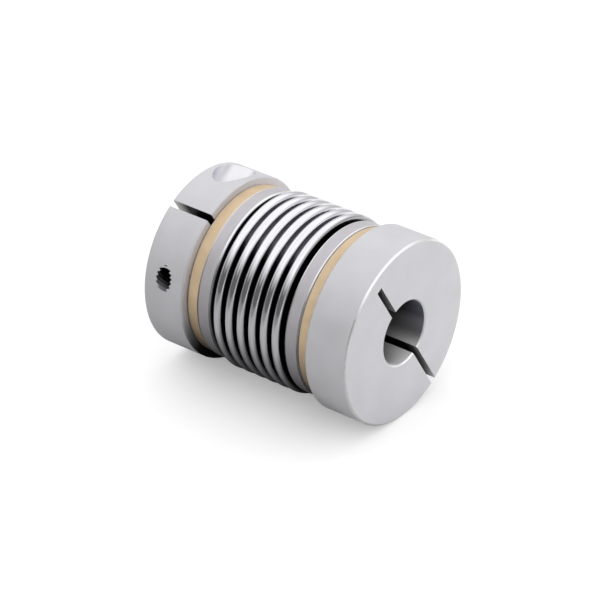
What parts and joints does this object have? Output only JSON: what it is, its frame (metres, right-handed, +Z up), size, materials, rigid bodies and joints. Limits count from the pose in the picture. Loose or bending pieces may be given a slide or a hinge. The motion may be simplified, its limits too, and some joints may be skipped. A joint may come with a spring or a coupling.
{
  "type": "bellows coupling",
  "caption": "Metal bellows shaft coupling: two split aluminium clamp hubs joined by a thin convoluted steel bellows that bends and stretches.",
  "frame": {"origin": "centre of the coupling, on its turning axis, midway between the two hub faces", "axes": "+X along the turning axis towards the front hub, +Z up; the slits of both hubs lie in one plane through the axis"},
  "size_m": [0.052, 0.04, 0.04],
  "materials": {
    "hub_aluminium": "satin",
    "end_ring_steel": "satin",
    "bond_ring_tan": "satin",
    "bellows_steel": "polished",
    "screw_steel": "satin"
  },
  "bodies": {
    "rear_end": {"rear_hub": "hub_aluminium", "rear_bond_ring": "bond_ring_tan", "rear_end_ring": "end_ring_steel", "bellows_rear_neck": "bellows_steel"},
    "rear_screw": {"rear_clamp_screw": "screw_steel"},
    "wave_1": {"bellows_wave_1": "bellows_steel"},
    "wave_2": {"bellows_wave_2": "bellows_steel"},
    "wave_3": {"bellows_wave_3": "bellows_steel"},
    "wave_4": {"bellows_wave_4": "bellows_steel"},
    "wave_5": {"bellows_wave_5": "bellows_steel"},
    "wave_6": {"bellows_wave_6": "bellows_steel"},
    "front_end": {"front_hub": "hub_aluminium", "front_bond_ring": "bond_ring_tan", "front_end_ring": "end_ring_steel", "bellows_front_neck": "bellows_steel"},
    "front_screw": {"front_clamp_screw": "screw_steel"}
  },
  "joints": [
    {"name": "rear_tilt", "type": "hinge", "parent": "rear_end", "child": "wave_1", "pos_m": [-0.00894, 0, 0], "axis": [0, 1, 0], "range_deg": [-0.75, 0.75]},
    {"name": "rear_yaw", "type": "hinge", "parent": "wave_1", "child": "wave_2", "pos_m": [-0.00596, 0, 0], "axis": [0, 0, 1], "range_deg": [-0.75, 0.75]},
    {"name": "rear_stretch", "type": "slide", "parent": "wave_2", "child": "wave_3", "axis": [1, 0, 0], "range_m": [-0.0002, 0.0002]},
    {"name": "middle_stretch", "type": "slide", "parent": "wave_3", "child": "wave_4", "axis": [1, 0, 0], "range_m": [-0.0002, 0.0002]},
    {"name": "front_stretch", "type": "slide", "parent": "wave_4", "child": "wave_5", "axis": [1, 0, 0], "range_m": [-0.0002, 0.0002]},
    {"name": "front_yaw", "type": "hinge", "parent": "wave_5", "child": "wave_6", "pos_m": [0.00596, 0, 0], "axis": [0, 0, 1], "range_deg": [-0.75, 0.75]},
    {"name": "front_tilt", "type": "hinge", "parent": "wave_6", "child": "front_end", "pos_m": [0.00894, 0, 0], "axis": [0, 1, 0], "range_deg": [-0.75, 0.75]},
    {"name": "rear_screw_turn", "type": "hinge", "parent": "rear_end", "child": "rear_screw", "pos_m": [-0.0209, -0.00752, 0.01204], "axis": [0, 0.848, 0.5299], "range_deg": [0, 360]},
    {"name": "front_screw_turn", "type": "hinge", "parent": "front_end", "child": "front_screw", "pos_m": [0.0209, 0.00752, -0.01204], "axis": [0, 0.848, 0.5299], "range_deg": [0, 360]}
  ],
  "couplings": [
    {"joint": "rear_stretch", "follows": "middle_stretch", "ratio": 1},
    {"joint": "front_stretch", "follows": "middle_stretch", "ratio": 1}
  ]
}
